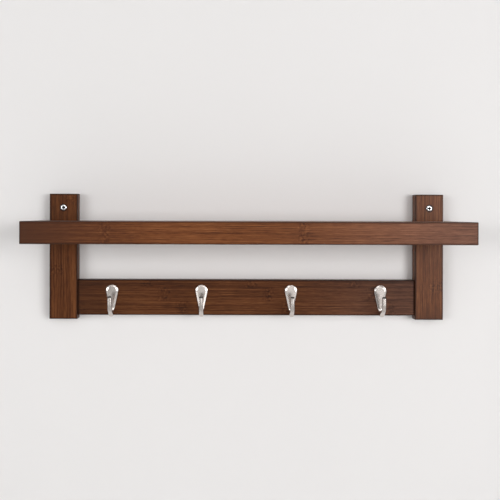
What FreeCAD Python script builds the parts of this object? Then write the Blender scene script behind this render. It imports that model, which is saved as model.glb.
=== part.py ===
"""Wall shelf with four coat hooks: two bamboo uprights, a notched shelf board, a hook rail and cast hooks.

Millimetres. +X is to the right, +Z is up and the front faces -Y. The wall is the plane y = 0, and the
origin lies on it, midway between the axes of the two wall screws.
"""

import FreeCAD, Part
import math
import os

import Sketcher

SIZES = {
    # Boards
    "shelf_length": 600,
    "shelf_depth": 120,
    "shelf_thickness": 30,
    "shelf_edge_radius": 1.2,
    "shelf_drop": 38.5,
    "shelf_overhang": 17,
    "upright_width": 40,
    "upright_thickness": 18,
    "upright_height": 180,
    "upright_edge_radius": 1,
    "notch_clearance": 0.15,
    "rail_height": 51,
    "rail_thickness": 14,
    "rail_rise": 5.5,
    "rail_edge_radius": 1,
    # Dowels between the rail and the uprights
    "dowel_diameter": 8,
    "dowel_length": 30,
    "dowel_inset": 13,
    "dowel_chamfer": 0.8,
    "dowel_clearance": 0.05,
    "dowel_end_gap": 0.5,
    # Wood screws through the uprights
    "screw_head_rim": 0.4,
    "screw_clearance": 0.1,
    "wall_screw_drop": 20,
    "wall_screw_diameter": 4,
    "wall_screw_shank_diameter": 3,
    "wall_screw_head_diameter": 8,
    "wall_screw_length": 45,
    "wall_screw_point": 5,
    "shelf_screw_diameter": 4,
    "shelf_screw_shank_diameter": 3,
    "shelf_screw_head_diameter": 8,
    "shelf_screw_length": 50,
    "shelf_screw_point": 5,
    "shelf_screw_pitch": 14,
    "shelf_screw_sink": 0.5,
    "shelf_screw_end_gap": 0.5,
    # Hooks along the rail
    "hook_margin": 50,
    "plate_width": 17.5,
    "plate_height": 37.5,
    "plate_thickness": 4.5,
    "plate_foot_radius": 3.6,
    "plate_bevel_width": 2.8,
    "plate_bevel_depth": 1,
    "plate_edge_radius": 0.8,
    "arm_root_sink": 0.1,
    "arm_root_length": 8,
    "arm_root_width": 6.2,
    "arm_tip_width": 5.6,
    "arm_tip_thickness": 4.8,
    "arm_reach": 29,
    "arm_drop": 36.3,
    "arm_tip_drop": 5.5,
    "arm_bend_radius": 9,
    "arm_tip_bend_radius": 14,
    "arm_incline": 36,
    # Boss, peg and machine screw that hold each hook
    "boss_diameter": 8,
    "boss_height": 4,
    "peg_diameter": 3,
    "peg_height": 3,
    "peg_drop": 17,
    "hook_fit_clearance": 0.1,
    "hook_screw_diameter": 4,
    "hook_screw_length": 12,
    "hook_screw_head_diameter": 8,
    "hook_screw_head_height": 2.8,
    "hook_screw_head_sink": 1,
    "hook_screw_end_gap": 0.5,
}

HOOK_COUNT = 4
SIDES = {"left": -1, "right": 1}
ROWS = {"lower": -1, "upper": 1}
HALF_TURN = (FreeCAD.Vector(0, 0, 1), 180)
UP = FreeCAD.Vector(0, 0, 1)
COUNTERSINK_ANGLE = 90
# Shares of a section's thinner side: how round the arm's corners and its tip are
CORNER_SHARE = 0.49
TIP_SHARE = 0.3
# Edges closer than this to a plane lie in it
TOUCH = 1e-4

# Expressions that several pieces share
UPRIGHT_TOP = "sizes.wall_screw_drop"
UPRIGHT_BOTTOM = f"({UPRIGHT_TOP} - sizes.upright_height)"
SHELF_TOP = f"({UPRIGHT_TOP} - sizes.shelf_drop)"
SHELF_MIDDLE = f"({SHELF_TOP} - sizes.shelf_thickness / 2)"
UPRIGHT_SPACING = "(sizes.shelf_length - 2 * sizes.shelf_overhang - sizes.upright_width)"
RAIL_LENGTH = f"({UPRIGHT_SPACING} - sizes.upright_width)"
RAIL_BOTTOM = f"({UPRIGHT_BOTTOM} + sizes.rail_rise)"
HOOK_PITCH = f"(({RAIL_LENGTH} - 2 * sizes.hook_margin) / {HOOK_COUNT - 1})"
HOOK_HEIGHT_ON_RAIL = "(sizes.rail_height / 2 + sizes.plate_height / 2 - sizes.plate_width / 2)"
HOOK_BORE_DEPTH = "(sizes.hook_screw_head_sink + sizes.hook_screw_head_height)"
SHELF_SCREW_HOLE = "(sizes.shelf_screw_diameter + 2 * sizes.screw_clearance)"
DOWEL_HOLE = "(sizes.dowel_diameter + 2 * sizes.dowel_clearance)"
DOWEL_HOLE_DEPTH = "(sizes.dowel_length / 2 + sizes.dowel_end_gap)"
ARM_AXIS = "(sizes.plate_thickness / 2)"
ARM_ROOT_THICKNESS = "(sizes.plate_thickness - 2 * sizes.arm_root_sink)"
ARM_LOW_AXIS = f"(sizes.arm_drop - {ARM_ROOT_THICKNESS} / 2)"
ARM_NECK = f"(sizes.arm_bend_radius - {ARM_LOW_AXIS})"
ARM_ROOT = f"({ARM_NECK} + sizes.arm_root_length)"

doc = FreeCAD.newDocument("wall_shelf")


def make_sheet():
    """The driving dimensions, one alias per row."""
    sheet = doc.addObject("Spreadsheet::Sheet", "sizes")
    for row, (alias, value) in enumerate(SIZES.items(), start=1):
        sheet.set(f"A{row}", alias)
        sheet.set(f"B{row}", str(value))
        sheet.setAlias(f"B{row}", alias)
    doc.recompute()
    return sheet


def make_body(label):
    body = doc.addObject("PartDesign::Body", label)
    body.Label = label
    return body


def place(body, x="0", y="0", z="0", turn=None):
    """Put a body where expressions say, after an optional turn (axis, degrees)."""
    if turn:
        body.Placement = FreeCAD.Placement(FreeCAD.Vector(), FreeCAD.Rotation(*turn))
    for axis, expression in zip("xyz", (x, y, z)):
        body.setExpression(f"Placement.Base.{axis}", expression)


def make_sketch(body, name, plane, offset=None):
    """A sketch on one of the body's origin planes, moved along the plane's normal by an expression."""
    sketch = body.newObject("Sketcher::SketchObject", name)
    origin_plane = [item for item in body.Origin.OriginFeatures if item.Role == plane][0]
    sketch.AttachmentSupport = [(origin_plane, "")]
    sketch.MapMode = "FlatFace"
    if offset:
        sketch.setExpression("AttachmentOffset.Base.z", offset)
    doc.recompute()
    return sketch


def bind(sketch, constraint, expression):
    """Add a driving constraint and tie its value to the sheet."""
    index = sketch.addConstraint(constraint)
    sketch.setExpression(f"Constraints[{index}]", expression)


def at(sketch, geometry, point, x, y):
    """Hold a point of some geometry at expressions for x and y."""
    place_now = sketch.getPoint(geometry, point)
    bind(sketch, Sketcher.Constraint("DistanceX", -1, 1, geometry, point, place_now.x), x)
    bind(sketch, Sketcher.Constraint("DistanceY", -1, 1, geometry, point, place_now.y), y)


def draw_loop(sketch, corners):
    """A closed outline of lines through (x, y) expressions, every corner tied to the sheet."""
    values = [FreeCAD.Vector(evaluate(x), evaluate(y), 0) for x, y in corners]
    first = sketch.GeometryCount
    count = len(values)
    for index, start in enumerate(values):
        sketch.addGeometry(Part.LineSegment(start, values[(index + 1) % count]))
    for index, (x, y) in enumerate(corners):
        after = first + (index + 1) % count
        sketch.addConstraint(Sketcher.Constraint("Coincident", first + index, 2, after, 1))
        at(sketch, first + index, 1, x, y)


def draw_box(sketch, x, y, width, height):
    """A rectangle about the centre (x, y)."""
    left, right = f"{x} - {width} / 2", f"{x} + {width} / 2"
    low, high = f"{y} - {height} / 2", f"{y} + {height} / 2"
    draw_loop(sketch, [(left, low), (right, low), (right, high), (left, high)])


def draw_circle(sketch, x, y, diameter):
    centre = FreeCAD.Vector(evaluate(x), evaluate(y), 0)
    radius = evaluate(diameter) / 2
    index = sketch.addGeometry(Part.Circle(centre, UP, radius))
    bind(sketch, Sketcher.Constraint("Diameter", index, 2 * radius), diameter)
    at(sketch, index, 3, x, y)


def evaluate(expression):
    """The present value of an expression over the sheet."""
    return float(sheet.evalExpression(expression.replace("sizes.", "")))


def pad(body, sketch, length, reverse=False, middle=False):
    feature = body.newObject("PartDesign::Pad", f"{sketch.Name}_pad")
    feature.Profile = sketch
    feature.setExpression("Length", length)
    feature.Reversed = reverse
    feature.Midplane = middle
    doc.recompute()
    return feature


def cut(body, sketch, depth=None, reverse=False):
    """A pocket to a depth, or through everything, that has to take material away."""
    before = body.Shape.Volume
    feature = body.newObject("PartDesign::Pocket", f"{sketch.Name}_cut")
    feature.Profile = sketch
    feature.Reversed = reverse
    if depth:
        feature.setExpression("Length", depth)
    else:
        feature.Type = "ThroughAll"
    doc.recompute()
    assert body.Shape.Volume < before, f"{sketch.Name} cuts nothing"
    return feature


def countersink(body, sketch, diameter, head_diameter, reverse=False):
    """Through holes with a countersink, one for each circle of the sketch."""
    before = body.Shape.Volume
    feature = body.newObject("PartDesign::Hole", f"{sketch.Name}_hole")
    feature.Profile = sketch
    doc.recompute()
    feature.Reversed = reverse
    feature.DepthType = "ThroughAll"
    feature.setExpression("Diameter", diameter)
    feature.HoleCutType = "Countersink"
    feature.HoleCutCustomValues = True
    feature.HoleCutCountersinkAngle = COUNTERSINK_ANGLE
    feature.setExpression("HoleCutDiameter", head_diameter)
    doc.recompute()
    assert body.Shape.Volume < before, f"{sketch.Name} cuts nothing"
    return feature


def ease(body, base, wanted, radius):
    """Round the edges of a feature that the test picks."""
    names = [f"Edge{n}" for n, edge in enumerate(base.Shape.Edges, start=1) if wanted(edge)]
    feature = body.newObject("PartDesign::Fillet", f"{base.Name}_eased")
    feature.Base = (base, names)
    feature.setExpression("Radius", radius)
    doc.recompute()
    return feature


def bevel(body, base, wanted, width, depth):
    """Slope the edges of a face that the test picks, to a width on the face and a depth beside it."""
    names = [f"Edge{n}" for n, edge in enumerate(base.Shape.Edges, start=1) if wanted(edge)]
    feature = body.newObject("PartDesign::Chamfer", f"{base.Name}_bevelled")
    feature.Base = (base, names)
    feature.ChamferType = "Two distances"
    feature.setExpression("Size", depth)
    feature.setExpression("Size2", width)
    doc.recompute()
    return feature


def off_back(edge):
    """True for an edge that leaves the wall plane, or lies wholly in front of it."""
    return edge.BoundBox.YMin < -TOUCH


def on_front(depth):
    """A test for the edges of the front face, at y = -depth."""
    return lambda edge: edge.BoundBox.YMax < TOUCH - depth


def at_depth(depth):
    """A test for the edges that lie wholly at y = -depth."""
    return lambda edge: abs(edge.BoundBox.YMin + depth) < TOUCH and abs(edge.BoundBox.YMax + depth) < TOUCH


def on_level(z):
    """A test for the edges that lie wholly at a height."""
    return lambda edge: abs(edge.BoundBox.ZMin - z) < TOUCH and abs(edge.BoundBox.ZMax - z) < TOUCH


def make_shelf():
    """The shelf board, notched at the back so that it houses the uprights and meets the wall."""
    body = make_body("shelf_board")
    outline = make_sketch(body, "shelf_outline", "XZ_Plane")
    draw_box(outline, "0", "0", "sizes.shelf_length", "sizes.shelf_thickness")
    board = pad(body, outline, "sizes.shelf_depth")
    ease(body, board, off_back, "sizes.shelf_edge_radius")
    notches = make_sketch(body, "shelf_notches", "XZ_Plane")
    pilots = make_sketch(body, "shelf_pilots", "XZ_Plane")
    width = "(sizes.upright_width + 2 * sizes.notch_clearance)"
    height = "(sizes.shelf_thickness + 2 * sizes.shelf_edge_radius)"
    for sign in SIDES.values():
        middle = f"{sign} * {UPRIGHT_SPACING} / 2"
        draw_box(notches, middle, "0", width, height)
        for row in ROWS.values():
            draw_circle(pilots, middle, f"{row} * sizes.shelf_screw_pitch / 2", SHELF_SCREW_HOLE)
    cut(body, notches, "sizes.upright_thickness", reverse=True)
    pilot_depth = "sizes.shelf_screw_sink + sizes.shelf_screw_length + sizes.shelf_screw_end_gap"
    cut(body, pilots, pilot_depth, reverse=True)
    place(body, z=SHELF_MIDDLE)
    return body


def make_upright(side, sign):
    """An upright with its wall screw hole, two shelf screw holes from the back and two dowel holes."""
    body = make_body(f"upright_{side}")
    outline = make_sketch(body, f"{side}_outline", "XZ_Plane")
    draw_box(outline, "0", "sizes.upright_height / 2", "sizes.upright_width", "sizes.upright_height")
    board = pad(body, outline, "sizes.upright_thickness")
    ease(body, board, on_front(evaluate("sizes.upright_thickness")), "sizes.upright_edge_radius")

    wall_hole = make_sketch(body, f"{side}_wall_hole", "XZ_Plane", "sizes.upright_thickness")
    wall_diameter = "(sizes.wall_screw_diameter + 2 * sizes.screw_clearance)"
    wall_head = "sizes.wall_screw_head_diameter + 2 * (sizes.screw_head_rim + sizes.screw_clearance)"
    draw_circle(wall_hole, "0", "sizes.upright_height - sizes.wall_screw_drop", wall_diameter)
    countersink(body, wall_hole, wall_diameter, wall_head)

    shelf_holes = make_sketch(body, f"{side}_shelf_holes", "XZ_Plane")
    shelf_head = (
        "sizes.shelf_screw_head_diameter"
        " + 2 * (sizes.screw_head_rim + sizes.screw_clearance + sizes.shelf_screw_sink)"
    )
    shelf_height = "sizes.upright_height - sizes.shelf_drop - sizes.shelf_thickness / 2"
    for row in ROWS.values():
        level = f"{shelf_height} + {row} * sizes.shelf_screw_pitch / 2"
        draw_circle(shelf_holes, "0", level, SHELF_SCREW_HOLE)
    countersink(body, shelf_holes, SHELF_SCREW_HOLE, shelf_head, reverse=True)

    edge = f"{-sign} * sizes.upright_width / 2"
    dowel_holes = make_sketch(body, f"{side}_dowel_holes", "YZ_Plane", edge)
    for height in dowel_heights("sizes.rail_rise"):
        draw_circle(dowel_holes, "-sizes.rail_thickness / 2", height, DOWEL_HOLE)
    cut(body, dowel_holes, DOWEL_HOLE_DEPTH, reverse=sign > 0)
    place(body, x=f"{sign} * {UPRIGHT_SPACING} / 2", z=UPRIGHT_BOTTOM)
    return body


def dowel_heights(rail_bottom):
    """Heights of the lower and upper dowel above the level that rail_bottom is measured from."""
    low = f"{rail_bottom} + sizes.dowel_inset"
    high = f"{rail_bottom} + sizes.rail_height - sizes.dowel_inset"
    return low, high


def make_rail():
    """The hook rail, with blind dowel holes in its ends and a stepped hole for each hook."""
    body = make_body("hook_rail")
    outline = make_sketch(body, "rail_outline", "XZ_Plane")
    draw_box(outline, "0", "sizes.rail_height / 2", RAIL_LENGTH, "sizes.rail_height")
    board = pad(body, outline, "sizes.rail_thickness")
    long_front = on_front(evaluate("sizes.rail_thickness"))
    ease(body, board, lambda e: long_front(e) and e.BoundBox.XLength > TOUCH, "sizes.rail_edge_radius")
    for side, sign in SIDES.items():
        ends = make_sketch(body, f"rail_{side}_end", "YZ_Plane", f"{sign} * {RAIL_LENGTH} / 2")
        for height in dowel_heights("0"):
            draw_circle(ends, "-sizes.rail_thickness / 2", height, DOWEL_HOLE)
        cut(body, ends, DOWEL_HOLE_DEPTH, reverse=sign < 0)

    shanks = make_sketch(body, "rail_shank_holes", "XZ_Plane")
    heads = make_sketch(body, "rail_head_bores", "XZ_Plane")
    bosses = make_sketch(body, "rail_boss_bores", "XZ_Plane", "sizes.rail_thickness")
    pegs = make_sketch(body, "rail_peg_bores", "XZ_Plane", "sizes.rail_thickness")
    play = "2 * sizes.hook_fit_clearance"
    peg_height = f"{HOOK_HEIGHT_ON_RAIL} - sizes.peg_drop"
    for number in range(HOOK_COUNT):
        x = hook_x(number)
        draw_circle(shanks, x, HOOK_HEIGHT_ON_RAIL, f"sizes.hook_screw_diameter + {play}")
        draw_circle(heads, x, HOOK_HEIGHT_ON_RAIL, f"sizes.hook_screw_head_diameter + {play}")
        draw_circle(bosses, x, HOOK_HEIGHT_ON_RAIL, f"sizes.boss_diameter + {play}")
        draw_circle(pegs, x, peg_height, f"sizes.peg_diameter + {play}")
    cut(body, shanks, reverse=True)
    cut(body, heads, HOOK_BORE_DEPTH, reverse=True)
    cut(body, bosses, "sizes.boss_height + sizes.hook_fit_clearance")
    cut(body, pegs, "sizes.peg_height + sizes.hook_fit_clearance")
    place(body, z=RAIL_BOTTOM)
    return body


def hook_x(number):
    return f"({number} - {(HOOK_COUNT - 1) / 2}) * {HOOK_PITCH}"


def draw_teardrop(sketch):
    """The plate's outline: a large arc above, a small one at the foot and the lines tangent to both."""
    foot_drop = "sizes.plate_height - sizes.plate_width / 2 - sizes.plate_foot_radius"
    top_radius = evaluate("sizes.plate_width / 2")
    foot_radius = evaluate("sizes.plate_foot_radius")
    drop = evaluate(foot_drop)
    lean = math.asin((top_radius - foot_radius) / drop)
    foot = FreeCAD.Vector(0, -drop, 0)
    right = FreeCAD.Vector(math.cos(lean), -math.sin(lean), 0)
    left = FreeCAD.Vector(-right.x, right.y, 0)
    top_circle = Part.Circle(FreeCAD.Vector(), UP, top_radius)
    foot_circle = Part.Circle(foot, UP, foot_radius)
    top = sketch.addGeometry(Part.ArcOfCircle(top_circle, -lean, math.pi + lean))
    left_side = sketch.addGeometry(Part.LineSegment(left * top_radius, foot + left * foot_radius))
    bottom = sketch.addGeometry(Part.ArcOfCircle(foot_circle, math.pi + lean, 2 * math.pi - lean))
    right_side = sketch.addGeometry(Part.LineSegment(foot + right * foot_radius, right * top_radius))
    outline = (top, left_side, bottom, right_side)
    for index, piece in enumerate(outline):
        after = outline[(index + 1) % len(outline)]
        sketch.addConstraint(Sketcher.Constraint("Tangent", piece, 2, after, 1))
    at(sketch, top, 3, "0", "0")
    at(sketch, bottom, 3, "0", f"-({foot_drop})")
    bind(sketch, Sketcher.Constraint("Diameter", top, 2 * top_radius), "sizes.plate_width")
    bind(sketch, Sketcher.Constraint("Radius", bottom, foot_radius), "sizes.plate_foot_radius")


def draw_arm_path(sketch):
    """The arm's centre line: down inside the plate, round the bend, along the incline and up to the tip."""
    axis = evaluate(ARM_AXIS)
    bend = evaluate("sizes.arm_bend_radius")
    tip_bend = evaluate("sizes.arm_tip_bend_radius")
    reach = evaluate("sizes.arm_reach")
    slope = math.radians(evaluate("sizes.arm_incline"))
    low = -evaluate(ARM_LOW_AXIS)
    start = FreeCAD.Vector(-axis, low + bend + evaluate("sizes.arm_root_length"), 0)
    bend_start = FreeCAD.Vector(-axis, low + bend, 0)
    bend_centre = FreeCAD.Vector(-axis - bend, low + bend, 0)
    bend_end = bend_centre + FreeCAD.Vector(-math.sin(slope), -math.cos(slope), 0) * bend
    run = reach - tip_bend * (1 - math.sin(slope)) + bend_end.x
    rise_start = bend_end + FreeCAD.Vector(-run, run * math.tan(slope), 0)
    rise_centre = rise_start + FreeCAD.Vector(math.sin(slope), math.cos(slope), 0) * tip_bend
    rise_end = FreeCAD.Vector(-reach, rise_centre.y, 0)
    tip = FreeCAD.Vector(-reach, -evaluate("sizes.arm_tip_drop"), 0)
    lower_angle = 1.5 * math.pi - slope
    bend_arc = Part.ArcOfCircle(Part.Circle(bend_centre, UP, bend), lower_angle, 2 * math.pi)
    rise_arc = Part.ArcOfCircle(Part.Circle(rise_centre, UP, tip_bend), math.pi, lower_angle)
    down = sketch.addGeometry(Part.LineSegment(start, bend_start))
    lower = sketch.addGeometry(bend_arc)
    incline = sketch.addGeometry(Part.LineSegment(bend_end, rise_start))
    upper = sketch.addGeometry(rise_arc)
    end = sketch.addGeometry(Part.LineSegment(rise_end, tip))
    for joint in ((down, 2, lower, 2), (lower, 1, incline, 1), (incline, 2, upper, 2), (upper, 1, end, 1)):
        sketch.addConstraint(Sketcher.Constraint("Tangent", *joint))
    bind(sketch, Sketcher.Constraint("Radius", lower, bend), "sizes.arm_bend_radius")
    bind(sketch, Sketcher.Constraint("Radius", upper, tip_bend), "sizes.arm_tip_bend_radius")
    at(sketch, down, 1, f"-{ARM_AXIS}", ARM_ROOT)
    at(sketch, lower, 3, f"-{ARM_AXIS} - sizes.arm_bend_radius", ARM_NECK)
    at(sketch, end, 2, "-sizes.arm_reach", "-sizes.arm_tip_drop")
    sketch.addConstraint(Sketcher.Constraint("Vertical", end))
    bind(sketch, Sketcher.Constraint("Angle", incline, math.pi - slope), "180 - sizes.arm_incline")


def draw_arm_section(sketch, y, width, thickness):
    """A rounded strap section about (0, y), its corners as round as its thinner side allows."""
    radius = f"({CORNER_SHARE} * min({width}; {thickness}))"
    half_width = evaluate(width) / 2
    half_thickness = evaluate(thickness) / 2
    corner = evaluate(radius)
    centre = FreeCAD.Vector(0, evaluate(y), 0)
    signs = ((1, 1), (-1, 1), (-1, -1), (1, -1))
    arcs = []
    for quarter, (side, face) in enumerate(signs):
        middle = centre + FreeCAD.Vector(side * (half_width - corner), face * (half_thickness - corner), 0)
        start = quarter * math.pi / 2
        arc = Part.ArcOfCircle(Part.Circle(middle, UP, corner), start, start + math.pi / 2)
        arcs.append(sketch.addGeometry(arc))
    for index, arc in enumerate(arcs):
        after = arcs[(index + 1) % len(arcs)]
        line = sketch.addGeometry(Part.LineSegment(sketch.getPoint(arc, 2), sketch.getPoint(after, 1)))
        sketch.addConstraint(Sketcher.Constraint("Tangent", arc, 2, line, 1))
        sketch.addConstraint(Sketcher.Constraint("Tangent", line, 2, after, 1))
    for arc, (side, face) in zip(arcs, signs):
        bind(sketch, Sketcher.Constraint("Radius", arc, corner), radius)
        x = f"{side} * ({width} / 2 - {radius})"
        at(sketch, arc, 3, x, f"{y} + {face} * ({thickness} / 2 - {radius})")


def make_hook(number):
    """One cast hook: a teardrop plate with a bevelled rim, its J-shaped arm, a tapped boss and a peg."""
    body = make_body(f"coat_hook_{number + 1}")
    name = f"hook{number + 1}"
    outline = make_sketch(body, f"{name}_plate", "XZ_Plane")
    draw_teardrop(outline)
    plate = pad(body, outline, "sizes.plate_thickness")
    face_depth = evaluate("sizes.plate_thickness")
    rim_depth = evaluate("sizes.plate_thickness - sizes.plate_bevel_depth")
    sloped = bevel(body, plate, at_depth(face_depth), "sizes.plate_bevel_width", "sizes.plate_bevel_depth")
    rims = (at_depth(face_depth), at_depth(rim_depth))
    ease(body, sloped, lambda edge: any(rim(edge) for rim in rims), "sizes.plate_edge_radius")

    path = make_sketch(body, f"{name}_arm_path", "YZ_Plane")
    draw_arm_path(path)
    root = make_sketch(body, f"{name}_arm_root", "XY_Plane", ARM_ROOT)
    draw_arm_section(root, f"-{ARM_AXIS}", "sizes.arm_root_width", ARM_ROOT_THICKNESS)
    neck = make_sketch(body, f"{name}_arm_neck", "XY_Plane", ARM_NECK)
    draw_arm_section(neck, f"-{ARM_AXIS}", "sizes.arm_root_width", ARM_ROOT_THICKNESS)
    tip = make_sketch(body, f"{name}_arm_tip", "XY_Plane", "-sizes.arm_tip_drop")
    draw_arm_section(tip, "-sizes.arm_reach", "sizes.arm_tip_width", "sizes.arm_tip_thickness")
    doc.recompute()
    arm = body.newObject("PartDesign::AdditivePipe", f"{name}_arm")
    arm.Profile = root
    arm.Spine = path
    arm.Sections = [neck, tip]
    arm.Transformation = "Multisection"
    doc.recompute()
    rounding = f"{TIP_SHARE} * min(sizes.arm_tip_width; sizes.arm_tip_thickness)"
    ease(body, arm, on_level(-evaluate("sizes.arm_tip_drop")), rounding)

    boss = make_sketch(body, f"{name}_boss", "XZ_Plane")
    draw_circle(boss, "0", "0", "sizes.boss_diameter")
    pad(body, boss, "sizes.boss_height", reverse=True)
    peg = make_sketch(body, f"{name}_peg", "XZ_Plane")
    draw_circle(peg, "0", "-sizes.peg_drop", "sizes.peg_diameter")
    pad(body, peg, "sizes.peg_height", reverse=True)
    thread = make_sketch(body, f"{name}_thread", "XZ_Plane", "-sizes.boss_height")
    draw_circle(thread, "0", "0", "sizes.hook_screw_diameter + 2 * sizes.hook_fit_clearance")
    reach_in = (
        f"{HOOK_BORE_DEPTH} + sizes.hook_screw_length + sizes.hook_screw_end_gap"
        " - (sizes.rail_thickness - sizes.boss_height)"
    )
    cut(body, thread, reach_in, reverse=True)
    place(body, x=hook_x(number), y="-sizes.rail_thickness", z=f"{RAIL_BOTTOM} + {HOOK_HEIGHT_ON_RAIL}")
    return body


def turn_profile(body, name, corners):
    """A solid of revolution about the body's Y axis, from (radius, y) corners."""
    profile = make_sketch(body, name, "XY_Plane")
    draw_loop(profile, corners)
    feature = body.newObject("PartDesign::Revolution", f"{name}_turned")
    feature.Profile = profile
    feature.ReferenceAxis = (profile, ["V_Axis"])
    feature.Angle = 360
    doc.recompute()
    return feature


def make_wood_screw(label, kind, grip):
    """A countersunk wood screw along +Y, from the middle of its head's top face, threaded past its grip."""
    body = make_body(label)
    thread = f"sizes.{kind}_diameter / 2"
    shank = f"sizes.{kind}_shank_diameter / 2"
    head = f"sizes.{kind}_head_diameter / 2"
    length = f"sizes.{kind}_length"
    corners = [
        ("0", "0"),
        (head, "0"),
        (head, "sizes.screw_head_rim"),
        (shank, f"sizes.screw_head_rim + {head} - {shank}"),
        (shank, grip),
        (thread, grip),
        (thread, f"{length} - sizes.{kind}_point"),
        ("0", length),
    ]
    turn_profile(body, f"{label}_profile", corners)
    return body


def make_hook_screw(number):
    """The pan head machine screw that draws a hook against the rail from behind."""
    body = make_body(f"hook_screw_{number + 1}")
    shank = "sizes.hook_screw_diameter / 2"
    head = "sizes.hook_screw_head_diameter / 2"
    under = "sizes.hook_screw_head_height"
    end = f"{under} + sizes.hook_screw_length"
    corners = [("0", "0"), (head, "0"), (head, under), (shank, under), (shank, end), ("0", end)]
    turn_profile(body, f"hook_screw_{number + 1}_profile", corners)
    height = f"{RAIL_BOTTOM} + {HOOK_HEIGHT_ON_RAIL}"
    place(body, hook_x(number), "-sizes.hook_screw_head_sink", height, turn=HALF_TURN)
    return body


def make_dowel(label, x, z):
    """A wooden dowel along X, half of it in the rail and half in the upright."""
    body = make_body(label)
    outline = make_sketch(body, f"{label}_outline", "YZ_Plane")
    draw_circle(outline, "0", "0", "sizes.dowel_diameter")
    rod = pad(body, outline, "sizes.dowel_length", middle=True)
    names = [f"Edge{n}" for n, edge in enumerate(rod.Shape.Edges, start=1) if edge.BoundBox.XLength < TOUCH]
    ends = body.newObject("PartDesign::Chamfer", f"{label}_ends")
    ends.Base = (rod, names)
    ends.setExpression("Size", "sizes.dowel_chamfer")
    doc.recompute()
    place(body, x, "-sizes.rail_thickness / 2", z)
    return body


def make_all():
    """Every piece of the shelf, in the order in which it goes together."""
    pieces = [make_shelf(), make_rail()]
    for side, sign in SIDES.items():
        centre = f"{sign} * {UPRIGHT_SPACING} / 2"
        pieces.append(make_upright(side, sign))
        wall_screw = make_wood_screw(f"wall_screw_{side}", "wall_screw", "sizes.upright_thickness")
        place(wall_screw, centre, "-sizes.upright_thickness")
        pieces.append(wall_screw)
        for (row, step), height in zip(ROWS.items(), dowel_heights(RAIL_BOTTOM)):
            grip = "sizes.upright_thickness - sizes.shelf_screw_sink"
            shelf_screw = make_wood_screw(f"shelf_screw_{side}_{row}", "shelf_screw", grip)
            level = f"{SHELF_MIDDLE} + {step} * sizes.shelf_screw_pitch / 2"
            place(shelf_screw, centre, "-sizes.shelf_screw_sink", level, turn=HALF_TURN)
            pieces.append(shelf_screw)
            joint = f"{sign} * {RAIL_LENGTH} / 2"
            pieces.append(make_dowel(f"rail_dowel_{side}_{row}", joint, height))
    for number in range(HOOK_COUNT):
        pieces.append(make_hook(number))
        pieces.append(make_hook_screw(number))
    return pieces


def check(pieces):
    """Stop before anything is written if an object failed or a piece isn't one sound solid."""
    for item in doc.Objects:
        failed = {"Invalid", "Error"} & set(item.State)
        assert not failed, f"{item.Label}: {item.State}"
    for piece in pieces:
        shape = piece.Shape
        assert not shape.isNull() and shape.isValid(), f"{piece.Label} has no sound shape"
        assert len(shape.Solids) == 1, f"{piece.Label} is not one solid"


sheet = make_sheet()
parts = make_all()
doc.recompute()
check(parts)
os.makedirs("parts", exist_ok=True)
for part in parts:
    part.Shape.exportStep(f"parts/{part.Label}.step")
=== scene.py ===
"""Looks of the wall shelf with hooks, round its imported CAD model. Metres, in the model's own frame."""

import math
from typing import NamedTuple

import bmesh
import bpy
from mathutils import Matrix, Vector


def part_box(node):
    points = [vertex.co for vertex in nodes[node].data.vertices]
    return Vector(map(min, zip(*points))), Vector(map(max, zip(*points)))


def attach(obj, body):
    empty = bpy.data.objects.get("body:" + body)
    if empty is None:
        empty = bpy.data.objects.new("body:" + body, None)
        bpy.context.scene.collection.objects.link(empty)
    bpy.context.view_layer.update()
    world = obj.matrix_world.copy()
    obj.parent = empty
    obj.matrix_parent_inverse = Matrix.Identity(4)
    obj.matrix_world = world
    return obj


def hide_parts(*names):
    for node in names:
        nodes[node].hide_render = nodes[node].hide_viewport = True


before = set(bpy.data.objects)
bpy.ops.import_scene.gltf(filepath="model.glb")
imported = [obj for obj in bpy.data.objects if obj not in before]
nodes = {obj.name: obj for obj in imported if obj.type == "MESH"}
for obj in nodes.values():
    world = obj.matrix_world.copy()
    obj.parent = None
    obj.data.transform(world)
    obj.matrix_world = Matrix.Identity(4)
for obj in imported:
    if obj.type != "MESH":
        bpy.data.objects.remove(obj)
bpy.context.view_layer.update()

MM = 0.001
SIDES = ("left", "right")
ROWS = ("lower", "upper")
HOOK_NUMBERS = (1, 2, 3, 4)
AXES = {"x": 0, "y": 1, "z": 2}
NOISE_MIDDLE = 0.5


class Streak(NamedTuple):
    """Noise drawn out along the grain: its scales along and across it, and its share in the wood's tone."""

    along: float
    across: float
    share: float
    detail: float
    roughness: float = 0.5


class Board(NamedTuple):
    """How a board is laid up and stained.

    Node place, fade and the ramp of painted bluish sheen are places along the grain. The shade is partly the
    board's own tone and partly painted shade, the fade is painted shade, and the sheen's ramp is a painted
    sheen. The screw is the node in the board's hole.
    """

    material: str
    node: str
    grain: str
    across: str
    strip_width: float
    ply: float
    node_place: float
    node_spacing: float
    node_stagger: float
    seed: float
    shade: float
    gloss: float
    fade: tuple
    painted_sheen: tuple = ()
    screw: str = ""


class Plating(NamedTuple):
    """A plated metal: its colour, its least and most roughness, and the scale of its grain."""

    colour: tuple
    roughness: tuple
    grain_scale: float


class ProfilePoint(NamedTuple):
    """A point of a screw head's profile: its depth, and its radius as a share of the full one."""

    depth: float
    share: float


class Thread(NamedTuple):
    """A screw thread. The crest is the share of the pitch that stands proud."""

    minor: float
    major: float
    pitch: float
    crest: float


class Lobe(NamedTuple):
    """A level of the surroundings round a direction, from far off to near it, between two cosines."""

    toward: tuple
    start: float
    full: float
    far: float
    near: float


class Lamp(NamedTuple):
    """A softbox that faces the middle of the object. Its power is in watts."""

    name: str
    place: tuple
    width: float
    height: float
    power: float


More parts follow.
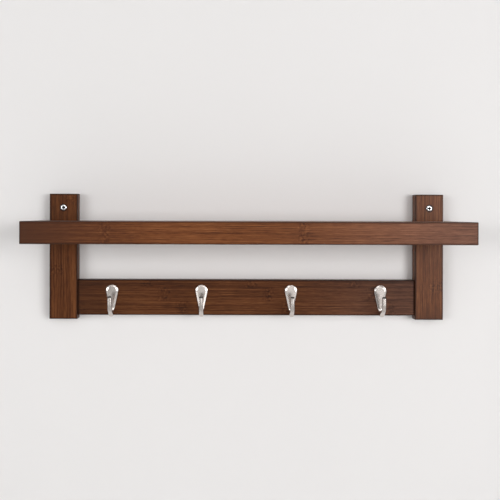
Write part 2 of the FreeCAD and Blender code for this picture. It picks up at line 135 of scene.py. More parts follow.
# Camera, fitted to the edges of the boards in a square picture of PICTURE pixels
PICTURE = 500
FOCAL_PIXELS = 765.09
AXIS_PIXEL_X = 222.06
AXIS_PIXEL_Y = 213.96
CAMERA_PLACE = (-0.03508, -1.118, -0.0085)
CAMERA_ROLL = -0.0027
SENSOR = 36.0

# Stained bamboo, in linear colour
BAMBOO_DARK = (0.05, 0.0142, 0.0045, 1)
BAMBOO_MIDDLE = (0.156, 0.048, 0.0135, 1)
BAMBOO_LIGHT = (0.285, 0.103, 0.034, 1)
BAMBOO_END = (0.07, 0.0225, 0.0075, 1)
# Painted sheen: a cool grey that stands in for a bluish sheen of light from the right
PAINTED_SHEEN_GREY = (0.2, 0.125, 0.115, 1)
DARK_TO_MIDDLE = (0.18, 0.52)
MIDDLE_TO_LIGHT = (0.5, 0.86)
GREY_SHADES = (0.45, 1.5)
PAINTED_SHEEN_SHARE = 0.25
# Share of the painted shade at the low end of a board's fade
PAINTED_SHADE_FADE_SHARE = 0.95

# Bamboo's grain. The skin keeps a board's outer faces inside its outer plies and strips
BROAD = Streak(along=2.0, across=160.0, share=0.35, detail=3.0)
FIBRE = Streak(along=5.0, across=1250.0, share=1.3, detail=3.0, roughness=0.6)
FLECK = Streak(along=90.0, across=1000.0, share=0.6, detail=2.0, roughness=0.6)
FINE = Streak(along=30.0, across=2200.0, share=0.95, detail=1.0)
STRIP_SHARE = 0.12
CLOUD_SCALE = 11.0
CLOUD_SHARE = 0.3
LANE_SHIFT = 7.0
SKIN = 0.01 * MM
LAYER_STAGGER = 0.37
GLUE_LINE = (0.12 * MM, 0.45 * MM)
GLUE_LINE_SHARE = 0.45

# Culm nodes across the grain
LAYER_NODE_STAGGER = 0.29
NODE_WOBBLE_SCALE = 330.0
NODE_WANDER = 9 * MM
NODE_LINE = (0.3 * MM, 1.5 * MM)
NODE_LINE_SHARE = -0.04
NODE_HALO = (3 * MM, 12 * MM)
MOTTLE_MIDDLE = 0.55

# End grain, edges and holes
END_FACING = (0.55, 0.9)
PORE_SCALE = 1150.0
PORE_EDGE = (0.18, 0.5)
END_TONE_SHARE = 0.35
# Colour of darker edges and hole rims: partly pooled stain, partly painted shade on the edges, painted shade
# on the rims
DARK_STAIN_AND_SHADE_LEVEL = 0.6
EDGE_BAND = 3.2 * MM
EDGE_SHARE = 0.9
HOLE_RIM = (4.8 * MM, 6.4 * MM)
HOLE_RIM_SHARE = 0.95

# Bamboo's sheen and relief
FIBRE_RANGE = (0.25, 0.75)
WOOD_ROUGHNESS = (0.45, 0.35)
FINE_HEIGHT = 0.5
GLUE_LINE_HEIGHT = -0.6
WOOD_BUMP = (0.22, 0.12 * MM)

# Metals
NICKEL = Plating(colour=(0.71, 0.652, 0.615, 1), roughness=(0.18, 0.23), grain_scale=1400.0)
STEEL = Plating(colour=(0.74, 0.75, 0.76, 1), roughness=(0.2, 0.28), grain_scale=2200.0)
# Painted shade: near-black steel in the cross recesses, standing in for the shade inside them
STEEL_IN_SHADE = Plating(colour=(0.012, 0.0125, 0.014, 1), roughness=(0.4, 0.55), grain_scale=2200.0)
METAL_CLOUD_SCALE = 90.0
METAL_CLOUD_SHADE = 0.86
METAL_BUMP = (0.12, 0.02 * MM)
MIDDLE_RANGE = (0.3, 0.7)

# Painted shade on the end and the flanks of a hook's arm, which lies within ARM_DEPTH of the hook's front
ARM_DEPTH = 6 * MM
ARM_FADE_DEPTH = 9 * MM
ARM_END_SHADE_START = 3.4 * MM
ARM_END_FULL_SHADE = 1.36 * MM
ARM_FLANK = (0.5, 0.95)
ARM_FLANK_SHARE = 0.6
ARM_PAINTED_SHADE = 0.12

# Dowel wood
BEECH = (0.55, 0.35, 0.19, 1)
BEECH_SCALES = (60.0, 1500.0, 1500.0)
BEECH_DARK_SHADE = 0.68
BEECH_ROUGHNESS = 0.62
BEECH_BUMP = (0.3, 0.1 * MM)

# Wall and floor
WALL_PAINT = (0.83, 0.815, 0.81, 1)
FLOOR_PAINT = (0.8, 0.79, 0.78, 1)
PAINT_CLOUD_SCALE = 3.0
PAINT_CLOUD_SHADE = 0.975
PAINT_ROLLER_SCALE = 420.0
PAINT_ROUGHNESS = 0.92
PAINT_GLOSS = 0.15
PAINT_BUMP = (0.06, 0.1 * MM)
FLOOR_LEVEL = -1.5
FLOOR_LIFT = 0.3
FLOOR_HALF_SIZE = 4.0
WALL_HALF_WIDTH = 1.6
WALL_TOP = 1.2
WALL_PLANE = 0.3 * MM
WALL_OVERLAP = 1 * MM
WALL_RAIL_OVERLAP = -2 * MM

# Light
MIDDLE = (0.0, -0.05, -0.07)
LAMPS = (
    Lamp("right_softbox", place=(1.6, -2.25, 0.15), width=1.25, height=0.9, power=31.0),
    Lamp("left_softbox", place=(-1.7, -2.0, 0.15), width=1.5, height=0.8, power=19.0),
    Lamp("right_strip", place=(1.5, -1.9, -0.95), width=0.5, height=0.7, power=2.5),
    Lamp("left_strip", place=(-1.5, -1.8, -0.95), width=0.5, height=0.7, power=2.2),
    Lamp("top_softbox", place=(0.0, -2.0, 1.2), width=1.8, height=0.6, power=6.0),
    Lamp("back_softbox", place=(0.3, 2.2, 0.6), width=1.6, height=1.0, power=14.0),
)
WORLD_COLOUR = (1, 0.995, 0.985, 1)
PALE = 0.88
PALE_IN_METAL = 0.97
WORLD_LIGHT = Lobe(toward=(0.35, -1.0, -0.05), start=0.82, full=0.99, far=0.2, near=0.85)
MIRRORED_LEFT = Lobe(toward=(-0.6, -1.0, -0.1), start=0.82, full=1.0, far=PALE_IN_METAL, near=0.15)
MIRRORED_RIGHT = Lobe(toward=(0.75, -1.0, -0.1), start=0.85, full=1.0, far=PALE_IN_METAL, near=0.4)

# Screws and dowels
RING_POINTS = 40
SMOOTH_BELOW = math.radians(38)
HEAD = 4 * MM
SHANK = 1.5 * MM
POINT = 5 * MM
POINT_SHARES = (0.35, 0.7, 0.92)
POINT_RADIUS = 0.02 * MM
WALL_SCREW_GRIP = 18 * MM
SHELF_SCREW_GRIP = 17.5 * MM
COARSE_THREAD = Thread(minor=1.35 * MM, major=2 * MM, pitch=1.8 * MM, crest=0.62)
FINE_THREAD = Thread(minor=1.65 * MM, major=2 * MM, pitch=0.7 * MM, crest=0.9)
THREAD_STEPS_PER_TURN = 8
MACHINE_END = 0.4 * MM
MACHINE_END_SHARE = 0.8
RECESS_ARM = 2.6 * MM
RECESS_HALF = 0.75 * MM
RECESS_CORE = 1.9 * MM
RECESS_PROFILE = (
    ProfilePoint(depth=2.3 * MM, share=0.2),
    ProfilePoint(depth=1.84 * MM, share=0.62),
    ProfilePoint(depth=0.06 * MM, share=0.95),
    ProfilePoint(depth=0.0, share=1.0),
)
COUNTERSUNK_PROFILE = (
    ProfilePoint(depth=0.03 * MM, share=0.7),
    ProfilePoint(depth=0.25 * MM, share=0.97),
    ProfilePoint(depth=0.35 * MM, share=1.0),
    ProfilePoint(depth=0.4 * MM, share=1.0),
)
PAN_PROFILE = (
    ProfilePoint(depth=0.02 * MM, share=0.65),
    ProfilePoint(depth=0.25 * MM, share=0.84),
    ProfilePoint(depth=0.7 * MM, share=0.955),
    ProfilePoint(depth=1.3 * MM, share=1.0),
    ProfilePoint(depth=2.7 * MM, share=1.0),
    ProfilePoint(depth=2.8 * MM, share=0.975),
)
DOWEL_CHAMFER = 0.8 * MM
DOWEL_FLUTES = 18
FLUTE_DEPTH = 0.25 * MM
TINY = 1e-9
INWARD = Vector((0, 1, 0))
RIGHTWARD = Vector((1, 0, 0))

# The boards, which keep their CAD shapes. A board's shade is partly its own tone and partly painted shade,
# lower where less light falls, on the left upright and the rail
BOARDS = (
    Board(
        material="bamboo_shelf",
        node="shelf_board",
        grain="x",
        across="z",
        strip_width=30 * MM,
        ply=6 * MM,
        node_place=0.0716,
        node_spacing=0.26,
        node_stagger=0.618,
        seed=3.0,
        shade=1.0,
        gloss=0.15,
        fade=(-0.33, -0.1),
        painted_sheen=(0.0, 0.3),
    ),
    Board(
        material="bamboo_upright_left",
        node="upright_left",
        grain="z",
        across="x",
        strip_width=20 * MM,
        ply=6 * MM,
        node_place=-0.0891,
        node_spacing=0.262,
        node_stagger=0.618,
        seed=11.0,
        shade=0.66,
        gloss=0.1,
        fade=(-0.2, -0.17),
        screw="wall_screw_left",
    ),
    Board(
        material="bamboo_upright_right",
        node="upright_right",
        grain="z",
        across="x",
        strip_width=20 * MM,
        ply=6 * MM,
        node_place=0.05,
        node_spacing=0.262,
        node_stagger=0.618,
        seed=23.0,
        shade=0.88,
        gloss=0.21,
        fade=(-0.19, -0.13),
        screw="wall_screw_right",
    ),
    Board(
        material="bamboo_rail",
        node="hook_rail",
        grain="x",
        across="z",
        strip_width=20 * MM,
        ply=7 * MM,
        node_place=0.057,
        node_spacing=0.15,
        node_stagger=0.17,
        seed=37.0,
        shade=0.58,
        gloss=0.12,
        fade=(-0.34, -0.12),
        painted_sheen=(0.05, 0.25),
    ),
)


class Graph:
    """The nodes of a material or the world. A value is a number, a colour, or the output of another node."""

    def __init__(self, tree):
        self.tree = tree
        coordinates = tree.nodes.new("ShaderNodeTexCoord")
        self.place = coordinates.outputs["Object"]
        self.normal = coordinates.outputs["Normal"]
        self.direction = coordinates.outputs["Generated"]

    def feed(self, socket, value):
        if isinstance(value, bpy.types.NodeSocket):
            self.tree.links.new(value, socket)
        else:
            socket.default_value = value

    def math(self, operation, *values):
        node = self.tree.nodes.new("ShaderNodeMath")
        node.operation = operation
        for socket, value in zip(node.inputs, values):
            self.feed(socket, value)
        return node.outputs[0]

    def dot(self, first, second):
        node = self.tree.nodes.new("ShaderNodeVectorMath")
        node.operation = "DOT_PRODUCT"
        self.feed(node.inputs[0], first)
        self.feed(node.inputs[1], second)
        return node.outputs["Value"]

    def split(self, vector):
        node = self.tree.nodes.new("ShaderNodeSeparateXYZ")
        self.feed(node.inputs[0], vector)
        return list(node.outputs)

    def join(self, x, y, z):
        node = self.tree.nodes.new("ShaderNodeCombineXYZ")
        for socket, value in zip(node.inputs, (x, y, z)):
            self.feed(socket, value)
        return node.outputs[0]

    def step(self, value, low, high, out_low=0.0, out_high=1.0):
        """A smooth step from one value to another."""
        node = self.tree.nodes.new("ShaderNodeMapRange")
        node.interpolation_type = "SMOOTHSTEP"
        for name, number in zip(("Value", "From Min", "From Max", "To Min", "To Max"),
                                (value, low, high, out_low, out_high)):
            self.feed(node.inputs[name], number)
        return node.outputs["Result"]

    def fall(self, value, low, high, top=1.0):
        """A smooth step from the top down to 0."""
        return self.step(value, low, high, top, 0.0)

    def blend(self, factor, first, second):
        """The first number where the factor is 0, the second where it is 1."""
        node = self.tree.nodes.new("ShaderNodeMix")
        node.data_type = "FLOAT"
        self.feed(node.inputs["Factor"], factor)
        self.feed(node.inputs["A"], first)
        self.feed(node.inputs["B"], second)
        return node.outputs["Result"]

    def mix(self, factor, first, second):
        """The first colour where the factor is 0, the second where it is 1."""
        node = self.tree.nodes.new("ShaderNodeMix")
        node.data_type = "RGBA"
        sockets = {socket.identifier: socket for socket in node.inputs}
        self.feed(sockets["Factor_Float"], factor)
        self.feed(sockets["A_Color"], first)
        self.feed(sockets["B_Color"], second)
        return next(socket for socket in node.outputs if socket.identifier == "Result_Color")

    def noise(self, vector, scale=1.0, detail=2.0, roughness=0.5):
        node = self.tree.nodes.new("ShaderNodeTexNoise")
        self.feed(node.inputs["Vector"], vector)
        node.inputs["Scale"].default_value = scale
        node.inputs["Detail"].default_value = detail
        node.inputs["Roughness"].default_value = roughness
        return node.outputs["Fac"]

    def stretched(self, place, scales):
        """The vector of three coordinates, each times its scale."""
        return self.join(*(self.math("MULTIPLY", value, scale) for value, scale in zip(place, scales)))

    def streak(self, place, streak):
        vector = self.stretched(place, (streak.along, streak.across, streak.across))
        return self.noise(vector, detail=streak.detail, roughness=streak.roughness)

    def scatter(self, vector):
        """One random number for each place."""
        node = self.tree.nodes.new("ShaderNodeTexWhiteNoise")
        self.feed(node.inputs["Vector"], vector)
        return node.outputs["Value"]

    def dots(self, vector, scale):
        node = self.tree.nodes.new("ShaderNodeTexVoronoi")
        self.feed(node.inputs["Vector"], vector)
        node.inputs["Scale"].default_value = scale
        return node.outputs["Distance"]

    def steps_past(self, value, start, size):
        """How many steps of a size a value lies past a start."""
        return self.math("DIVIDE", self.math("SUBTRACT", value, start), size)

    def off_whole(self, value):
        """How far a value is from the nearest whole number."""
        return self.math("PINGPONG", value, 0.5)

    def with_swing(self, total, value, share):
        """A total plus a share of how far a noise is from its middle."""
        return self.math("MULTIPLY_ADD", self.math("SUBTRACT", value, NOISE_MIDDLE), share, total)


class Surface(Graph):
    """The nodes of a new material with one main shader."""

    def __init__(self, name):
        self.material = bpy.data.materials.new(name)
        self.material.use_nodes = True
        super().__init__(self.material.node_tree)
        self.shader = self.tree.nodes["Principled BSDF"]

    def set(self, **values):
        for name, value in values.items():
            self.feed(self.shader.inputs[name.replace("_", " ")], value)

    def bump(self, height, strength, distance):
        node = self.tree.nodes.new("ShaderNodeBump")
        node.inputs["Strength"].default_value = strength
        node.inputs["Distance"].default_value = distance
        self.feed(node.inputs["Height"], height)
        self.feed(self.shader.inputs["Normal"], node.outputs["Normal"])

    def facing(self, axis):
        """1 where the surface faces along an axis, either way, and 0 where it runs along it."""
        return self.math("ABSOLUTE", self.split(self.normal)[AXES[axis]])


def stain(colour, shade):
    return tuple(shade * value for value in colour[:3]) + (1,)


def edge_nearness(graph, place, low, high, band):
    """1 along the edges of a board's box, 0 further from them than the band."""
    gaps = []
    for value, least, most in zip(place, low, high):
        offset = graph.math("ABSOLUTE", graph.math("SUBTRACT", value, (least + most) / 2))
        gaps.append(graph.math("SUBTRACT", (most - least) / 2, offset))
    first, second, third = gaps
    smaller = graph.math("MINIMUM", first, second)
    larger = graph.math("MAXIMUM", first, second)
    middle = graph.math("MAXIMUM", smaller, graph.math("MINIMUM", larger, third))
    return graph.fall(middle, 0.0, band)


def hole_rim_painted_shade(graph, place, screw):
    """Painted shade: how dark the rim of the hole for a screw along Y is."""
    low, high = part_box(screw)
    middle = (low + high) / 2
    off_x = graph.math("SUBTRACT", place[AXES["x"]], middle.x)
    off_z = graph.math("SUBTRACT", place[AXES["z"]], middle.z)
    squares = graph.math("MULTIPLY_ADD", off_x, off_x, graph.math("MULTIPLY", off_z, off_z))
    return graph.fall(graph.math("SQRT", squares), *HOLE_RIM, HOLE_RIM_SHARE)


def lay_up(graph, board, side, deep, low_side, low_deep):
    """The ply and the strip at a place, the strip's own tone, and 1 on the glue lines between strips."""
    layer = graph.math("FLOOR", graph.steps_past(deep, low_deep - SKIN, board.ply))
    strip_place = graph.steps_past(side, low_side - SKIN, board.strip_width)
    strip_place = graph.math("ADD", strip_place, graph.math("MULTIPLY", layer, LAYER_STAGGER))
    strip = graph.math("FLOOR", strip_place)
    tone = graph.scatter(graph.join(layer, strip, board.seed))
    glue_gap = graph.math("MULTIPLY", graph.off_whole(strip_place), board.strip_width)
    return layer, strip, tone, graph.fall(glue_gap, *GLUE_LINE)


def culm_nodes(graph, board, along, layer, strip):
    """1 on the wavering lines of the culm nodes, and how far the tone is mottled round them."""
    layer_phase = graph.math("MULTIPLY", layer, LAYER_NODE_STAGGER)
    phase = graph.math("MULTIPLY_ADD", strip, board.node_stagger, layer_phase)
    wobble = graph.noise(graph.place, scale=NODE_WOBBLE_SCALE, detail=2.0)
    wander = graph.math("MULTIPLY", graph.math("SUBTRACT", wobble, NOISE_MIDDLE), NODE_WANDER)
    node_place = graph.steps_past(graph.math("ADD", along, wander), board.node_place, board.node_spacing)
    off_node = graph.off_whole(graph.math("ADD", node_place, phase))
    gap = graph.math("MULTIPLY", off_node, board.node_spacing)
    halo = graph.fall(gap, *NODE_HALO)
    mottle = graph.math("MULTIPLY", halo, graph.math("SUBTRACT", wobble, MOTTLE_MIDDLE))
    return graph.fall(gap, *NODE_LINE), mottle


def bamboo(board):
    """Laminated bamboo: plies of strips along the grain, with fibres, culm nodes and end grain.

    The shade scales the stain's colours. It is partly the board's own tone and partly painted shade. Along
    the grain a painted shade, darker towards the low end, clears up between the fade's two places, and a
    painted bluish sheen turns the colour greyer between the two places of the sheen's ramp. Edges are
    darker, partly with pooled stain and partly with painted shade, and the rim of the hole for a screw is
    darker with painted shade.
    """
    graph = Surface(board.material)
    tints = (BAMBOO_DARK, BAMBOO_MIDDLE, BAMBOO_LIGHT, BAMBOO_END)
    # The shade here is partly the board's own tone and partly painted shade
    dark, medium, light, cut = (stain(tint, board.shade) for tint in tints)
    dark_stain_and_shade = stain(BAMBOO_DARK, DARK_STAIN_AND_SHADE_LEVEL * board.shade)
    low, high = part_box(board.node)
    place = graph.split(graph.place)
    depth = next(axis for axis in AXES if axis not in (board.grain, board.across))
    along, side, deep = (place[AXES[axis]] for axis in (board.grain, board.across, depth))
    low_side, low_deep = (low[AXES[axis]] for axis in (board.across, depth))
    layer, strip, tone, glue = lay_up(graph, board, side, deep, low_side, low_deep)
    node_line, mottle = culm_nodes(graph, board, along, layer, strip)

    lane = graph.math("ADD", along, graph.math("MULTIPLY", tone, LANE_SHIFT))
    lane_place = (lane, side, deep)
    fibre = graph.streak(lane_place, FIBRE)
    fine = graph.streak(lane_place, FINE)
    cloud = graph.noise(graph.place, scale=CLOUD_SCALE, detail=3.0)
    streaks = graph.with_swing(NOISE_MIDDLE, fibre, FIBRE.share)
    streaks = graph.with_swing(streaks, graph.streak(lane_place, BROAD), BROAD.share)
    streaks = graph.with_swing(streaks, graph.streak(lane_place, FLECK), FLECK.share)
    streaks = graph.with_swing(streaks, fine, FINE.share)
    streaks = graph.with_swing(streaks, tone, STRIP_SHARE)
    streaks = graph.with_swing(streaks, cloud, CLOUD_SHARE)
    streaks = graph.math("ADD", mottle, streaks)
    streaks = graph.math("MULTIPLY_ADD", node_line, NODE_LINE_SHARE, streaks)

    colour = graph.mix(graph.step(streaks, *DARK_TO_MIDDLE), dark, medium)
    colour = graph.mix(graph.step(streaks, *MIDDLE_TO_LIGHT), colour, light)
    colour = graph.mix(graph.math("MULTIPLY", glue, GLUE_LINE_SHARE), colour, dark)
    # Painted shade: darker towards the low end of the grain, where less light and sheen fall
    colour = graph.mix(graph.fall(along, *board.fade, PAINTED_SHADE_FADE_SHARE), colour, dark)
    # Painted sheen: a cool grey towards the high end of the grain, where a bluish light shines
    if board.painted_sheen:
        dark_grey, light_grey = (stain(PAINTED_SHEEN_GREY, share * board.shade) for share in GREY_SHADES)
        grey = graph.mix(graph.step(streaks, DARK_TO_MIDDLE[0], MIDDLE_TO_LIGHT[1]), dark_grey, light_grey)
        colour = graph.mix(graph.step(along, *board.painted_sheen, out_high=PAINTED_SHEEN_SHARE), colour, grey)

    pores = graph.dots(graph.join(0.0, side, deep), PORE_SCALE)
    end_colour = graph.mix(graph.step(pores, *PORE_EDGE), dark, cut)
    end_colour = graph.mix(graph.math("MULTIPLY", tone, END_TONE_SHARE), end_colour, medium)
    colour = graph.mix(graph.step(graph.facing(board.grain), *END_FACING), colour, end_colour)

    # Edges darker, partly pooled stain and partly painted shade; below, painted shade round the screw's hole
    edge = edge_nearness(graph, place, low, high, EDGE_BAND)
    colour = graph.mix(graph.math("MULTIPLY", edge, EDGE_SHARE), colour, dark_stain_and_shade)
    if board.screw:
        colour = graph.mix(hole_rim_painted_shade(graph, place, board.screw), colour, dark_stain_and_shade)

    roughness = graph.step(fibre, *FIBRE_RANGE, *WOOD_ROUGHNESS)
    height = graph.math("MULTIPLY_ADD", fine, FINE_HEIGHT, fibre)
    height = graph.math("MULTIPLY_ADD", glue, GLUE_LINE_HEIGHT, height)
    graph.set(Base_Color=colour, Roughness=roughness, Specular_IOR_Level=board.gloss)
    graph.bump(height, *WOOD_BUMP)
    return graph.material


def arm_painted_shade(graph):
    """Painted shade: 1 on the end of a hook's arm, less on its flanks, and 0 on the rest of the hook."""
    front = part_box("coat_hook_1")[0].y
    points = [vertex.co for vertex in nodes["coat_hook_1"].data.vertices]
    arm_end = max(point.z for point in points if point.y < front + ARM_DEPTH)
    place = graph.split(graph.place)
    on_arm = graph.fall(place[AXES["y"]], front + ARM_DEPTH, front + ARM_FADE_DEPTH)
    on_end = graph.step(place[AXES["z"]], arm_end - ARM_END_SHADE_START, arm_end - ARM_END_FULL_SHADE)
    on_flank = graph.step(graph.facing("x"), *ARM_FLANK, out_high=ARM_FLANK_SHARE)
    return graph.math("MULTIPLY", on_arm, graph.math("MAXIMUM", on_end, on_flank))


def metal(name, plating, painted_shade_zone=None):
    """Plated metal with a faint unevenness in its sheen, and painted shade where a function gives it."""
    graph = Surface(name)
    cloud = graph.noise(graph.place, scale=METAL_CLOUD_SCALE, detail=3.0)
    grain = graph.noise(graph.place, scale=plating.grain_scale, detail=2.0)
    shaded = stain(plating.colour, METAL_CLOUD_SHADE)
    colour = graph.mix(graph.step(cloud, *MIDDLE_RANGE), shaded, plating.colour)
    if painted_shade_zone:
        # Painted shade: the zone is darkened towards near-black metal
        colour = graph.mix(painted_shade_zone(graph), colour, stain(plating.colour, ARM_PAINTED_SHADE))
    roughness = graph.step(grain, *MIDDLE_RANGE, *plating.roughness)
    graph.set(Base_Color=colour, Roughness=roughness, Metallic=1.0)
    graph.bump(grain, *METAL_BUMP)
    return graph.material


def beech(name):
    """Pale dowel wood with flecks along X."""
    graph = Surface(name)
    fibre = graph.noise(graph.stretched(graph.split(graph.place), BEECH_SCALES), detail=3.0)
    colour = graph.mix(graph.step(fibre, *MIDDLE_RANGE), stain(BEECH, BEECH_DARK_SHADE), BEECH)
    graph.set(Base_Color=colour, Roughness=BEECH_ROUGHNESS)
    graph.bump(fibre, *BEECH_BUMP)
    return graph.material


def paint(name, colour, one_sided=False, lift=0.0):
    """Matt wall or floor paint. A one-sided surface lets light and sight through from behind.

    The lift is a share of its colour that only the camera sees, so that a floor in shade stays pale.
    """
    graph = Surface(name)
    tree = graph.tree
    cloud = graph.noise(graph.place, scale=PAINT_CLOUD_SCALE, detail=2.0)
    roller = graph.noise(graph.place, scale=PAINT_ROLLER_SCALE, detail=2.0)
    uneven = graph.mix(cloud, stain(colour, PAINT_CLOUD_SHADE), colour)
    graph.set(Base_Color=uneven, Roughness=PAINT_ROUGHNESS, Specular_IOR_Level=PAINT_GLOSS)
    graph.bump(roller, *PAINT_BUMP)
    if lift:
        path = tree.nodes.new("ShaderNodeLightPath")
        seen = graph.math("MULTIPLY", path.outputs["Is Camera Ray"], lift)
        graph.set(Emission_Color=colour, Emission_Strength=seen)
    if one_sided:
        geometry = tree.nodes.new("ShaderNodeNewGeometry")
        clear = tree.nodes.new("ShaderNodeBsdfTransparent")
        choose = tree.nodes.new("ShaderNodeMixShader")
        tree.links.new(geometry.outputs["Backfacing"], choose.inputs[0])
        tree.links.new(graph.shader.outputs[0], choose.inputs[1])
        tree.links.new(clear.outputs[0], choose.inputs[2])
        tree.links.new(choose.outputs[0], tree.nodes["Material Output"].inputs["Surface"])
    return graph.material


def new_object(name, vertices, faces, material, smooth_below=None):
    """A mesh object. If an angle is given, its faces point outward and are smooth across edges under it."""
    mesh = bpy.data.meshes.new(name)
    mesh.from_pydata(vertices, [], faces)
    if smooth_below is not None:
        work = bmesh.new()
        work.from_mesh(mesh)
        bmesh.ops.recalc_face_normals(work, faces=work.faces)
        for face in work.faces:
            face.smooth = True
        for edge in work.edges:
            edge.smooth = edge.is_boundary or edge.calc_face_angle(0) < smooth_below
        work.to_mesh(mesh)
        work.free()
    mesh.materials.append(material)
    thing = bpy.data.objects.new(name, mesh)
    bpy.context.scene.collection.objects.link(thing)
    return thing


def ring(depth, radius):
    """A ring's points as (angle, depth, radius). The radius is a number or a function of the angle."""
    points = []
    for index in range(RING_POINTS):
        angle = 2 * math.pi * index / RING_POINTS
        value = radius(angle) if callable(radius) else radius
        points.append((angle, depth, value))
    return points


def ring_mesh(name, rings, start, along, material, shaded_rows=0, shaded=None):
    """Skin rings into a closed solid that starts at a point and runs along +Y, -Y or +X.

    The floor and the faces of the first rows, if a number of rows is given, take the shaded material,
    painted shade for a recess.
    """
    first, second = (1, 2) if along == RIGHTWARD else (0, 2)
    vertices = []
    for points in rings:
        for angle, depth, radius in points:
            spot = Vector(start) + along * depth
            spot[first] += radius * math.cos(angle)
            spot[second] += radius * math.sin(angle)
            vertices.append(spot)
    faces = []
    for row in range(len(rings) - 1):
        here = row * RING_POINTS
        there = here + RING_POINTS
        for index in range(RING_POINTS):
            after = (index + 1) % RING_POINTS
            faces.append((here + index, here + after, there + after, there + index))
    for row, points in ((0, rings[0]), (len(rings) - 1, rings[-1])):
        middle = len(vertices)
        vertices.append(Vector(start) + along * points[0][1])
        for index in range(RING_POINTS):
            after = (index + 1) % RING_POINTS
            faces.append((middle, row * RING_POINTS + index, row * RING_POINTS + after))
    piece = new_object(name, vertices, faces, material, SMOOTH_BELOW)
    if shaded_rows:
        piece.data.materials.append(shaded)
        side_faces = RING_POINTS * (len(rings) - 1)
        for face in piece.data.polygons:
            in_rows = face.index < RING_POINTS * shaded_rows
            in_floor = side_faces <= face.index < side_faces + RING_POINTS
            face.material_index = 1 if in_rows or in_floor else 0
    return piece


def cross(share):
    """The outline of a cross recess about the axis, as a function of the angle."""
    def radius(angle):
        cosine = abs(math.cos(angle)) + TINY
        sine = abs(math.sin(angle)) + TINY
        level = min(RECESS_ARM / cosine, RECESS_HALF / sine)
        upright = min(RECESS_HALF / cosine, RECESS_ARM / sine)
        return share * max(level, upright, RECESS_CORE)
    return radius


def head_rings(profile):
    """The rings of a screw's head, from the floor of its cross recess to the end of its profile."""
    rings = [ring(point.depth, cross(point.share)) for point in RECESS_PROFILE]
    rings += [ring(point.depth, point.share * HEAD) for point in profile]
    return rings


def thread_rings(start, end, thread):
    """Rings of a helical thread between two depths."""
    rings = []
    count = round((end - start) / thread.pitch * THREAD_STEPS_PER_TURN)
    for index in range(count + 1):
        depth = start + (end - start) * index / count

        def radius(angle, depth=depth):
            phase = (depth / thread.pitch - angle / (2 * math.pi)) % 1.0
            proud = max(0.0, 1.0 - abs(2 * phase - 1) / thread.crest)
            fade = min(1.0, (depth - start) / thread.pitch, (end - depth) / thread.pitch)
            return thread.minor + (thread.major - thread.minor) * proud * fade
        rings.append(ring(depth, radius))
    return rings


def screw_mesh(node, name, along, rings, material, shaded):
    """Skin a screw's rings from the head's end of its CAD node, with painted shade in its recess."""
    low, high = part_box(node)
    head_end = low.y if along.y > 0 else high.y
    start = ((low.x + high.x) / 2, head_end, (low.z + high.z) / 2)
    return ring_mesh(name, rings, start, along, material, len(RECESS_PROFILE) - 1, shaded)


def wood_screw(node, name, along, grip, material, shaded):
    """A countersunk screw with a cross recess and a coarse thread, in the place of its CAD node."""
    low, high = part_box(node)
    length = high.y - low.y
    cone_end = COUNTERSUNK_PROFILE[-1].depth + HEAD - SHANK
    rings = head_rings(COUNTERSUNK_PROFILE)
    rings += [ring(cone_end, SHANK), ring(grip, SHANK)]
    rings += thread_rings(grip, length - POINT, COARSE_THREAD)
    for share in POINT_SHARES:
        rings.append(ring(length - POINT + share * POINT, COARSE_THREAD.minor * (1 - share)))
    rings.append(ring(length, POINT_RADIUS))
    return screw_mesh(node, name, along, rings, material, shaded)


def machine_screw(node, name, along, material, shaded):
    """A pan head screw with a cross recess and a fine thread, in the place of its CAD node."""
    low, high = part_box(node)
    length = high.y - low.y
    under = PAN_PROFILE[-1].depth
    rings = head_rings(PAN_PROFILE)
    rings.append(ring(under, FINE_THREAD.minor))
    rings += thread_rings(under, length - MACHINE_END, FINE_THREAD)
    rings.append(ring(length, MACHINE_END_SHARE * FINE_THREAD.minor))
    return screw_mesh(node, name, along, rings, material, shaded)


def dowel(node, name, material):
    """A fluted dowel along X, in the place of its CAD node."""
    low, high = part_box(node)
    radius = (high.z - low.z) / 2
    length = high.x - low.x
    start = (low.x, (low.y + high.y) / 2, (low.z + high.z) / 2)

    def fluted(angle):
        return radius - FLUTE_DEPTH * (0.5 + 0.5 * math.cos(DOWEL_FLUTES * angle))
    rings = [
        ring(0.0, radius - DOWEL_CHAMFER),
        ring(DOWEL_CHAMFER, fluted),
        ring(length - DOWEL_CHAMFER, fluted),
        ring(length, radius - DOWEL_CHAMFER),
    ]
    return ring_mesh(name, rings, start, RIGHTWARD, material)


def stand_in_for(piece, node):
    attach(piece, "root")
    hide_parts(node)


def dress(node, material):
    """Give a CAD node its material."""
    for slot in nodes[node].material_slots:
        slot.material = material


def make_wall(material):
    """A wall behind the boards, open where their backs lie on it, so that the backs stay in view.

    It runs a little behind each board's edges. The rail's opening runs on into those of the uprights.
    """
    covered = []
    for board in BOARDS:
        low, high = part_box(board.node)
        sideways = WALL_RAIL_OVERLAP if board.node == "hook_rail" else WALL_OVERLAP
        covered.append((low.x + sideways, high.x - sideways, low.z + WALL_OVERLAP, high.z - WALL_OVERLAP))
    columns = {-WALL_HALF_WIDTH, WALL_HALF_WIDTH}
    levels = {FLOOR_LEVEL, WALL_TOP}
    for left, right, bottom, top in covered:
        columns |= {left, right}
        levels |= {bottom, top}
    columns = sorted(columns)
    levels = sorted(levels)
    vertices = [(x, WALL_PLANE, z) for z in levels for x in columns]
    faces = []
    for row in range(len(levels) - 1):
        for column in range(len(columns) - 1):
            x = (columns[column] + columns[column + 1]) / 2
            z = (levels[row] + levels[row + 1]) / 2
            if any(left < x < right and bottom < z < top for left, right, bottom, top in covered):
                continue
            corner = row * len(columns) + column
            above = corner + len(columns)
            faces.append((corner, corner + 1, above + 1, above))
    new_object("backdrop_wall", vertices, faces, material)


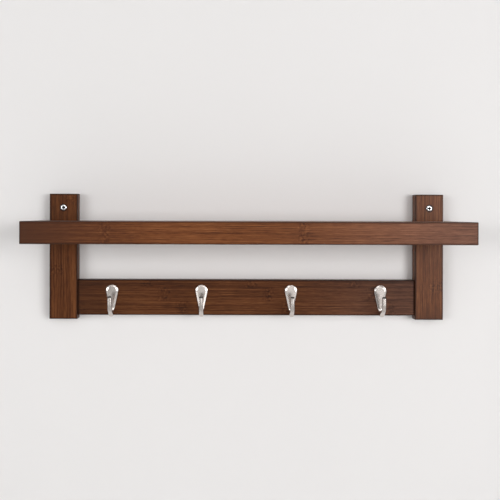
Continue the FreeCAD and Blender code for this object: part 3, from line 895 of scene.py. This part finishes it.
def make_floor(material):
    size = FLOOR_HALF_SIZE
    corners = ((-size, -size), (size, -size), (size, size), (-size, size))
    vertices = [(x, y, FLOOR_LEVEL) for x, y in corners]
    new_object("floor", vertices, [(0, 1, 2, 3)], material)


def make_camera():
    data = bpy.data.cameras.new("camera")
    data.sensor_width = SENSOR
    data.lens = SENSOR * FOCAL_PIXELS / PICTURE
    data.shift_x = (PICTURE / 2 - AXIS_PIXEL_X) / PICTURE
    data.shift_y = (AXIS_PIXEL_Y - PICTURE / 2) / PICTURE
    camera = bpy.data.objects.new("camera", data)
    camera.location = CAMERA_PLACE
    camera.rotation_euler = (math.pi / 2, CAMERA_ROLL, 0)
    bpy.context.scene.collection.objects.link(camera)
    bpy.context.scene.camera = camera


def make_lamp(lamp):
    data = bpy.data.lights.new(lamp.name, "AREA")
    data.shape = "RECTANGLE"
    data.size = lamp.width
    data.size_y = lamp.height
    data.energy = lamp.power
    thing = bpy.data.objects.new(lamp.name, data)
    thing.location = lamp.place
    thing.rotation_euler = (Vector(MIDDLE) - Vector(lamp.place)).to_track_quat("-Z", "Y").to_euler()
    bpy.context.scene.collection.objects.link(thing)


def make_world():
    """Soft studio surroundings, a dim light that is stronger from the front right.

    Seen by the camera or in metal they are pale, in metal darker towards the front left and right.
    """
    world = bpy.data.worlds.new("studio")
    world.use_nodes = True
    graph = Graph(world.node_tree)
    levels = []
    for lobe in (WORLD_LIGHT, MIRRORED_LEFT, MIRRORED_RIGHT):
        cosine = graph.dot(graph.direction, Vector(lobe.toward).normalized())
        levels.append(graph.step(cosine, lobe.start, lobe.full, lobe.far, lobe.near))
    light, left, right = levels
    path = graph.tree.nodes.new("ShaderNodeLightPath")
    strength = graph.blend(path.outputs["Is Glossy Ray"], light, graph.math("MINIMUM", left, right))
    strength = graph.blend(path.outputs["Is Camera Ray"], strength, PALE)
    background = graph.tree.nodes["Background"]
    background.inputs["Color"].default_value = WORLD_COLOUR
    graph.feed(background.inputs["Strength"], strength)
    bpy.context.scene.world = world


# Boards and hooks keep their CAD shapes
for board in BOARDS:
    dress(board.node, bamboo(board))
nickel = metal("satin_nickel", NICKEL, arm_painted_shade)
for number in HOOK_NUMBERS:
    dress(f"coat_hook_{number}", nickel)

# Screws and dowels with their recesses, threads and flutes
steel = metal("zinc_steel", STEEL)
shaded_steel = metal("zinc_steel_recess_painted_shade", STEEL_IN_SHADE)
dowel_wood = beech("beech")
for side in SIDES:
    node = f"wall_screw_{side}"
    screw = wood_screw(node, f"screw_to_wall_{side}", INWARD, WALL_SCREW_GRIP, steel, shaded_steel)
    stand_in_for(screw, node)
    for row in ROWS:
        node = f"shelf_screw_{side}_{row}"
        name = f"screw_to_shelf_{side}_{row}"
        screw = wood_screw(node, name, -INWARD, SHELF_SCREW_GRIP, steel, shaded_steel)
        stand_in_for(screw, node)
        node = f"rail_dowel_{side}_{row}"
        stand_in_for(dowel(node, f"fluted_dowel_{side}_{row}", dowel_wood), node)
for number in HOOK_NUMBERS:
    node = f"hook_screw_{number}"
    screw = machine_screw(node, f"screw_to_hook_{number}", -INWARD, steel, shaded_steel)
    stand_in_for(screw, node)

make_wall(paint("wall_paint", WALL_PAINT, one_sided=True))
make_floor(paint("floor_paint", FLOOR_PAINT, lift=FLOOR_LIFT))
make_camera()
for lamp in LAMPS:
    make_lamp(lamp)
make_world()
bpy.context.scene.view_settings.view_transform = "Standard"
